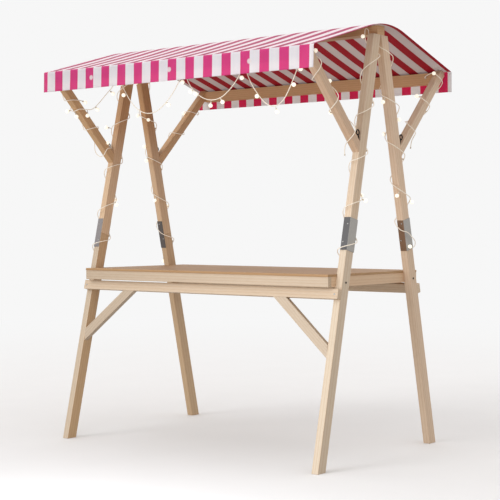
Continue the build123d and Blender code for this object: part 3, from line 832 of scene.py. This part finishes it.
def eye_screw(end, side):
    """Torus: middle + (ring + wire cos b)(up cos a + over sin a) + wire sin b along X.
    Shank: middle line + (core + thread sin(2 pi z / pitch - turn)) round it."""
    up = np.array([0, side * math.cos(stand), math.sin(stand)])
    over = np.array([0, -side * math.sin(stand), math.cos(stand)])
    along_x = np.array([1.0, 0, 0])
    crook = np.array([end * (frame_x - eye_inset), side * crook_y, crook_z])
    a, b = round_and_round(np.linspace(0, 2 * np.pi, ring_steps, endpoint=False), wire_steps)
    ring = (crook + up * eye_reach + along_x * eye_wire * np.sin(b)
            + (eye_ring + eye_wire * np.cos(b)) * (up * np.cos(a) + over * np.sin(a)))
    z, turn = round_and_round(np.linspace(thread_start, eye_reach - eye_ring, shank_steps), shank_sides)
    radius = thread_core + thread_height * np.sin(2 * np.pi * z / thread_pitch - turn)
    radius[0] = 0
    shank = crook + up * z + radius * (over * np.cos(turn) + along_x * np.sin(turn))
    faces = [grid_faces(ring_steps, wire_steps, around=True, closed=True),
             grid_faces(shank_steps, shank_sides, around=True) + ring_steps * wire_steps]
    return np.concatenate([ring.reshape(-1, 3), shank.reshape(-1, 3)]), np.concatenate(faces)


for (side_name, side), (end_name, end) in product(sides.items(), ends.items()):
    points, faces = eye_screw(end, side)
    piece = make_piece(f"{side_name}_{end_name}_eye_ring", points, faces, iron)
    tidy(piece)
    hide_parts(f"{side_name}_{end_name}_eye_screw")
print("eye screw", len(points), "points, ring middle", round(eye_reach / MM), "mm from the crook")

# %% [markdown]
# ## Bolts and screws
# Steel bolts hold the table's end rails and the two lower beams to the legs,
# and small screws hold the channels. A round head is a profile of radius
# against height turned about the bolt's own line: a low dome with a sunk
# socket. The same profile, made smaller, serves for the screws.

# %% Make the bolts and screws
head_radii = np.array([0, 1.0, 1.0, 0.93, 0.72, 0.5, 0.42, 0.42, 0])
head_distances = np.array([-0.3, -0.3, 0.12, 0.3, 0.46, 0.52, 0.5, 0.2, 0.2])
head_sides = 18
leg_bolt_radius, beam_bolt_radius, screw_radius = 5.5 * MM, 5 * MM, 3.6 * MM
leg_bolt_y, leg_bolt_height = 324.6 * MM, 896 * MM
beam_bolt_x, beam_middle, beam_thickness = 833 * MM, 843 * MM, 28 * MM
channel_sheet, screw_shift = 2, 7.6
screw_spots = ((841, 1183), (826, 1095))


def heads(name, places, ways, radius, material):
    """Domed heads at places, each facing its own way: radius and distance times one profile."""
    turned_piece(name, np.array(places, float), np.array(ways, float), head_distances * radius,
                 head_radii * radius, head_sides, material)


def on_leg(along, across, side):
    """(y, z) at a distance up a leg from its foot's level and square across it from its middle line."""
    middle = foot_outer - along * lean_tan - leg_cut / 2
    return side * (middle + across * lean_cos), along + across * lean_sin


legs = list(product(ends.values(), sides.values()))
leg_bolts = [(end * frame_x, side * leg_bolt_y, leg_bolt_height) for end, side in legs]
heads("leg_bolts", leg_bolts, [(end, 0, 0) for end, side in legs], leg_bolt_radius, iron)
beam_face = foot_outer - beam_middle * lean_tan + beam_thickness / lean_cos
beam_bolts = [(end * beam_bolt_x, side * beam_face, beam_middle) for end, side in legs]
heads("beam_bolts", beam_bolts, [(0, side * lean_cos, lean_sin) for end, side in legs],
      beam_bolt_radius, screw_steel)
channel_screws, channel_ways = [], []
for (end, side), (x, height), face in product(legs, screw_spots, (1, -1)):
    across = face * (leg_depth / 2 + channel_sheet * MM)
    y, z = on_leg((height - face * screw_shift) * MM, across, side)
    channel_screws.append((end * x * MM, y, z))
    channel_ways.append((0, side * face * lean_cos, face * lean_sin))
heads("channel_screws", channel_screws, channel_ways, screw_radius, screw_steel)
print("bolts", len(leg_bolts) + len(beam_bolts), "channel screws", len(channel_screws))

# %% [markdown]
# ## Striped cloth roof
# The roof is one cloth: it hangs as a valance in front, folds over the front
# rail, runs up to the ridge, over it and down the same way at the back. It
# could be a cloth simulation, but it is stretched over three straight timbers,
# so nearly all of its shape is known. It is worked out as a surface of two
# parameters instead: x along the ridge and s along the cloth from the front hem
# to the back hem. Where no timber holds it, it sags between ridge and rail and
# its hems wave in and out a little.

# %% Shape of the cloth
cloth_length, cloth_thick, cloth_lift = 1792 * MM, 0.8 * MM, 1.3 * MM
valance_drop, roof_slope, rail_round = 107.6 * MM, math.radians(16.6), 7.7 * MM
fold_y = eaves_reach - rail_round
fold_z = eaves_height + rail_round * math.tan(roof_slope) - rail_round / math.cos(roof_slope)
slope_apex = eaves_height + eaves_reach * math.tan(roof_slope)
crown_radius = (slope_apex - ridge_top) / (1 / math.cos(roof_slope) - 1)
crown_centre = ridge_top - crown_radius
drop_steps, bend_steps, slope_steps, crown_steps = 15, 7, 29, 12


def half_profile():
    """Points (y, z), ways out of the cloth, and how much it may wave and sag there, from
    the back hem up to the ridge: a straight drop, an arc over the rail, a straight
    slope and an arc over the ridge beam."""
    bend, over = rail_round + cloth_lift, crown_radius + cloth_lift
    sine, cosine = math.sin(roof_slope), math.cos(roof_slope)
    drop = np.linspace(eaves_height - valance_drop, fold_z, drop_steps, endpoint=False)
    fold = np.linspace(0, math.pi / 2 - roof_slope, bend_steps, endpoint=False)
    share = np.linspace(0, 1, slope_steps, endpoint=False)
    top = np.linspace(roof_slope, 0, crown_steps)
    foot_y, foot_z = fold_y + bend * sine, fold_z + bend * cosine
    head_y, head_z = over * sine, crown_centre + over * cosine
    y = [np.full(drop_steps, fold_y + bend), fold_y + bend * np.cos(fold),
         foot_y + (head_y - foot_y) * share, over * np.sin(top)]
    z = [drop, fold_z + bend * np.sin(fold), foot_z + (head_z - foot_z) * share,
         crown_centre + over * np.cos(top)]
    out_y = [np.ones(drop_steps), np.cos(fold), np.full(slope_steps, sine), np.sin(top)]
    out_z = [np.zeros(drop_steps), np.sin(fold), np.full(slope_steps, cosine), np.cos(top)]
    may_wave = [np.linspace(1, 0, drop_steps, endpoint=False),
                np.zeros(bend_steps + slope_steps + crown_steps)]
    may_sag = [np.zeros(drop_steps + bend_steps), np.sin(math.pi * share) ** 2, np.zeros(crown_steps)]
    return [np.concatenate(stretches) for stretches in (y, z, out_y, out_z, may_wave, may_sag)]


# The front half is the back half mirrored, so only y and the y of the ways change sign.
y, z, out_y, out_z, may_wave, may_sag = (
    np.concatenate([sign * half, half[::-1][1:]])
    for sign, half in zip((-1, 1, -1, 1, 1, 1), half_profile()))
cloth_run = np.concatenate([[0], np.cumsum(np.hypot(np.diff(y), np.diff(z)))])
hem_to_hem = float(cloth_run[-1])
valance_run = float(cloth_run[drop_steps + bend_steps])
print("cloth from hem to hem", round(hem_to_hem, 3), "m,", len(y), "points")

# %% Surface of the cloth
long_wave, short_wave, sag_wave = 0.31, 0.173, 0.43
wave_depth, least_sag, more_sag, stretched_end = 3.2 * MM, 1.6 * MM, 2.2 * MM, 0.12
across_steps = 161
x = np.linspace(-cloth_length / 2, cloth_length / 2, across_steps)
X, S = np.meshgrid(x, cloth_run, indexing="ij")
in_front = S < hem_to_hem / 2


def swing(length, phase):
    """The sine of the way along the ridge, counted in waves of a length, and of a phase."""
    return np.sin(2 * np.pi * X / length + phase)


wave = (0.6 * (0.5 + 0.5 * swing(long_wave, 0.6 + 2.1 * in_front))
        + 0.4 * (0.5 + 0.5 * swing(short_wave, 1.9 - 1.2 * in_front)))
slack = 0.6 + 0.4 * swing(sag_wave, 1.1 * in_front)
from_end = np.clip((cloth_length / 2 - np.abs(X)) / stretched_end, 0, 1) ** 2
out = may_wave ** 1.4 * wave * wave_depth - may_sag * from_end * (least_sag + more_sag * slack)
points = np.stack([X, y + out * out_y, z + out * out_z], -1)
print("the cloth bulges", round(out.max() / MM, 1), "mm and sags", round(-out.min() / MM, 1), "mm")

# %% [markdown]
# ## Striped cloth finish
# The cloth has stripes of 58 mm, pink and white in turn, that run from hem to
# hem. The valances are sewn on with their stripes turned about: pink meets white
# at the seam over each rail. The roof's pink is darker than the valances', which
# is painted shade. The inner side has darker, redder copies of the colours, which
# is painted shade too, and the valances' inner sides have brighter copies, which
# is painted light of the daylight that comes through them. Some of that light
# also passes the thin cloth for real, which is what the shader's subsurface
# setting does. Where bulbs press on the cloth from behind, soft round spots of
# painted light show through. An image could hold the stripes, but they are only
# numbers, so Math nodes work them out from the UV map: the remainder of u over
# two stripes says which colour it is. A fine weave, a stitched hem near each
# free edge and slow unevenness in tone keep it from looking like paper.

# %% Pattern of the cloth
stripe_pair, stripe_start, stripe_sharpness = 0.116, 0.8671, 130
thread_spacing, stitch_inset, seam_width = 1.1 * MM, 12 * MM, 1.2 * MM
glow_radius, glow_fade = 15 * MM, 5 * MM


def stripes(tree, u, on_roof):
    """1 on a coloured stripe and 0 on a plain one. u is counted in pairs of stripes, with half
    a pair more on the roof, and its remainder makes the share rise at a half and fall at one."""
    start = stripe_start + 10 * stripe_pair
    pairs = arithmetic(tree, "DIVIDE", arithmetic(tree, "ADD", u, start), stripe_pair)
    phase = arithmetic(tree, "FRACT", weighted_sum(tree, pairs, 1.0, on_roof, 0.5))
    rise, fall = (arithmetic(tree, "MULTIPLY", arithmetic(tree, "SUBTRACT", more, less),
                             stripe_sharpness, clamp=True) for more, less in ((phase, 0.5), (1.0, phase)))
    return arithmetic(tree, "MINIMUM", rise, fall)


def threads(tree, u, v):
    """Warp and weft: half, plus half of a sine along u times a sine along v."""
    warp, weft = (arithmetic(tree, "SINE", arithmetic(tree, "MULTIPLY", way, 2 * math.pi / thread_spacing))
                  for way in (u, v))
    return arithmetic(tree, "MULTIPLY_ADD", arithmetic(tree, "MULTIPLY", warp, weft), 0.5, 0.5)


def apart(tree, first, second):
    """How far two values are apart."""
    return arithmetic(tree, "ABSOLUTE", arithmetic(tree, "SUBTRACT", first, second))


def seams(tree, u, from_hem):
    """1 on the stitches inside the four edges and where a valance is sewn on, else 0."""
    from_side = arithmetic(tree, "SUBTRACT", cloth_length / 2, arithmetic(tree, "ABSOLUTE", u))
    from_edge = arithmetic(tree, "MINIMUM", from_side, from_hem)
    off_seam = arithmetic(tree, "MINIMUM", apart(tree, from_edge, stitch_inset),
                          apart(tree, from_hem, valance_run))
    return arithmetic(tree, "SUBTRACT", 1.0, arithmetic(tree, "DIVIDE", off_seam, seam_width), clamp=True)


def glow_spot(tree, u, v, spot):
    """1 at a spot of the cloth, fading to 0 at the glow's radius."""
    squares = [arithmetic(tree, "POWER", apart(tree, place, middle), 2.0)
               for place, middle in zip((u, v), spot)]
    away = arithmetic(tree, "SQRT", arithmetic(tree, "ADD", *squares))
    inwards = arithmetic(tree, "SUBTRACT", glow_radius, away)
    return arithmetic(tree, "DIVIDE", inwards, glow_fade, clamp=True)


print("stripes of", round(stripe_pair / 2 / MM), "mm, threads", round(thread_spacing / MM, 1), "mm apart")

# %% Cloth finish
def striped_cloth(name, roof_colours, valance_colours, sheen, glow_spots):
    """Stripes across u, threads both ways, stitched hems, and soft round glows of painted light
    where bulbs press from behind. Colours are pairs, of the coloured stripe and the plain one."""
    material, tree, shader = new_material(name)
    uv = add(tree, "ShaderNodeUVMap", uv_map="cloth").outputs["UV"]
    parts = add(tree, "ShaderNodeSeparateXYZ", Vector=uv)
    u, v = parts.outputs["X"], parts.outputs["Y"]
    from_hem = arithmetic(tree, "MINIMUM", v, arithmetic(tree, "SUBTRACT", hem_to_hem, v))
    on_roof = arithmetic(tree, "GREATER_THAN", from_hem, valance_run)
    coloured, plain = (blend_colour(tree, on_roof, valance, roof)
                       for valance, roof in zip(valance_colours, roof_colours))
    cloud, thread = noise(tree, uv, Scale=7.0, Detail=3.0), threads(tree, u, v)
    seam = seams(tree, u, from_hem)
    colour = blend_colour(tree, stripes(tree, u, on_roof), plain, coloured)
    colour = shade(tree, colour, cloud, [(0.3, (0.94, 0.94, 0.95)), (0.7, 1.0)])
    colour = shade(tree, colour, thread, [(0.0, 0.93), (1.0, 1.0)])
    colour = blend_colour(tree, arithmetic(tree, "MULTIPLY", seam, 0.12), colour, (0.25, 0.2, 0.2))
    for spot in glow_spots:
        lit = arithmetic(tree, "MULTIPLY", glow_spot(tree, u, v, spot), 0.8)
        colour = blend_colour(tree, lit, colour, sRGB(250, 232, 236))
    feed(shader, Base_Color=colour, Roughness=0.8, Specular_IOR_Level=0.2, Sheen_Weight=sheen,
         Sheen_Roughness=0.5, Subsurface_Weight=0.6, Subsurface_Radius=(1.0, 1.0, 1.0),
         Subsurface_Scale=4 * MM)
    bump(tree, shader, weighted_sum(tree, thread, 0.5, seam, -1.0), 0.4, 0.0004)
    return material


# The roof's darker pink is painted shade, and the three glows are painted light of bulbs behind the cloth.
outer_cloth = striped_cloth(
    "striped_cloth", (sRGB(172, 36, 94), sRGB(252, 234, 244)), (sRGB(222, 62, 130), sRGB(250, 242, 252)),
    0.15, [(-0.5351, 0.0561), (0.0127, 0.0567), (0.5221, 0.058)])
# The inner colours are darker copies as painted shade, and the valances' brighter ones are painted light
# coming through.
inner_cloth = striped_cloth(
    "striped_cloth_inner", (sRGB(152, 5, 26), sRGB(198, 186, 186)), (sRGB(222, 30, 80), sRGB(250, 246, 252)),
    0.03, [])
print("cloth finishes", outer_cloth.name, inner_cloth.name)

# %% [markdown]
# ## The cloth in place
# The numbers are one layer of points, which is the middle of the cloth. A mesh
# of two layers would do too, but each change would then be made twice, so
# Solidify gives the thickness and puts the darker finish, with its painted shade, on the inner side.

# %% Make the cloth
def put_uv(piece, u, v):
    """A UV map in metres, so that a pattern follows the cloth: u along the ridge, v along the cloth."""
    layer = piece.data.uv_layers.new(name="cloth")
    corners = np.empty(len(piece.data.loops), int)
    piece.data.loops.foreach_get("vertex_index", corners)
    layer.data.foreach_set("uv", np.stack([u.ravel()[corners], v.ravel()[corners]], 1).ravel())


faces = grid_faces(len(x), len(cloth_run))[:, ::-1]
canopy = make_piece("canopy_cloth", points.reshape(-1, 3), faces, outer_cloth)
put_uv(canopy, X, S)
canopy.data.materials.append(inner_cloth)
thickness = canopy.modifiers.new("cloth_thickness", "SOLIDIFY")
thickness.thickness = cloth_thick
thickness.offset = 0.0
thickness.material_offset = 1
thickness.material_offset_rim = 0
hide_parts("canopy")
cloth_faces = canopy.data.polygons
normal = tuple(round(part, 2) for part in cloth_faces[len(cloth_faces) // 2].normal)
print("cloth", len(cloth_faces), "faces; middle face looks", normal)

# %% [markdown]
# ## Floor and light
# A plain pale floor carries the shadow. The light is a soft key from the front
# left and a low soft box in front of the right end, as in the photograph, where
# the fronts of the timbers are bright, most of all at the right, and their right
# sides are a tone deeper. A world that is brighter overhead than at the horizon
# fills the shadows. The camera and mirror-like surfaces see a white world, and the
# floor fades into it far out.

# %% Floor
def seen_directly(tree):
    """1 for camera, glossy and transmission rays, else 0."""
    path = add(tree, "ShaderNodeLightPath").outputs
    return arithmetic(tree, "MAXIMUM", path["Is Camera Ray"],
                      arithmetic(tree, "MAXIMUM", path["Is Glossy Ray"], path["Is Transmission Ray"]))


def mix_into(output, share, first, second):
    """Mix two shaders by a share of the second and lead them to an output."""
    mixer = output.id_data.nodes.new("ShaderNodeMixShader")
    for socket, value in zip(mixer.inputs, (share, first, second)):
        plug(socket, value)
    plug(output.inputs["Surface"], mixer.outputs[0])


floor_half, fade_start, fade_end = 40.0, 1.2, 9.0
far_white = (0.93, 0.93, 0.93)
floor_material, tree, shader = new_material("pale_floor")
place = object_place(tree)
pale = blend_colour(tree, noise(tree, place, Scale=3.0, Detail=2.0), (0.84, 0.84, 0.85), (0.87, 0.87, 0.88))
seen = seen_directly(tree)
feed(shader, Roughness=0.8, Base_Color=blend_colour(tree, seen, (0.40, 0.37, 0.34), pale))
away = add(tree, "ShaderNodeVectorMath", operation="LENGTH", Vector=place)
fade = add(tree, "ShaderNodeMapRange", interpolation_type="SMOOTHSTEP", From_Min=fade_start,
           From_Max=fade_end, Value=away.outputs["Value"])
white = add(tree, "ShaderNodeEmission", Color=far_white, Strength=1.0)
mix_into(tree.nodes["Material Output"], arithmetic(tree, "MULTIPLY", fade.outputs["Result"], seen),
         shader.outputs[0], white.outputs[0])
floor_mesh = bpy.data.meshes.new("floor")
floor_corners = [(-floor_half, -floor_half, 0), (floor_half, -floor_half, 0),
                 (floor_half, floor_half, 0), (-floor_half, floor_half, 0)]
floor_mesh.from_pydata(floor_corners, [], [(0, 1, 2, 3)])
floor_mesh.materials.append(floor_material)
floor = bpy.data.objects.new("floor", floor_mesh)
bpy.context.scene.collection.objects.link(floor)
print("floor", 2 * floor_half, "m wide")

# %% World and lamps
world = bpy.data.worlds.new("pale_world")
bpy.context.scene.world = world
world.use_nodes = True
tree = world.node_tree
direction = add(tree, "ShaderNodeTexCoord").outputs["Generated"]
upwards = add(tree, "ShaderNodeSeparateXYZ", Vector=direction).outputs["Z"]
sky = add(tree, "ShaderNodeMapRange", From_Min=0.0, From_Max=1.0, To_Min=0.46, To_Max=1.2, Value=upwards)
background = feed(tree.nodes["Background"], Color=(1.0, 0.975, 0.95), Strength=sky.outputs["Result"])
white = add(tree, "ShaderNodeBackground", Color=far_white, Strength=1.0)
mix_into(tree.nodes["World Output"], seen_directly(tree), background.outputs[0], white.outputs[0])


def studio_lamp(name, kind, place, target, strength, colour):
    """A lamp at a place, turned to a target. The camera doesn't see the lamp itself."""
    lamp = bpy.data.objects.new(name, bpy.data.lights.new(name, kind))
    lamp.data.energy = strength
    lamp.data.color = colour
    lamp.location = place
    lamp.rotation_euler = (Vector(target) - Vector(place)).to_track_quat("-Z", "Y").to_euler()
    lamp.visible_camera = False
    bpy.context.scene.collection.objects.link(lamp)
    return lamp.data


key_lamp = studio_lamp("key_lamp", "SUN", (-2.4, -6.5, 5.2), (0, 0, 1), 0.62, (1.0, 0.99, 0.98))
key_lamp.angle = math.radians(25)
soft_box = studio_lamp("soft_box", "AREA", (0.6, -2.5, 0.85), (0.6, 0.0, 0.95), 18.5, (0.95, 1.0, 1.05))
soft_box.size = 1.2
bpy.context.scene.view_settings.view_transform = "Standard"
print("lamps", [light.name for light in bpy.data.lights])
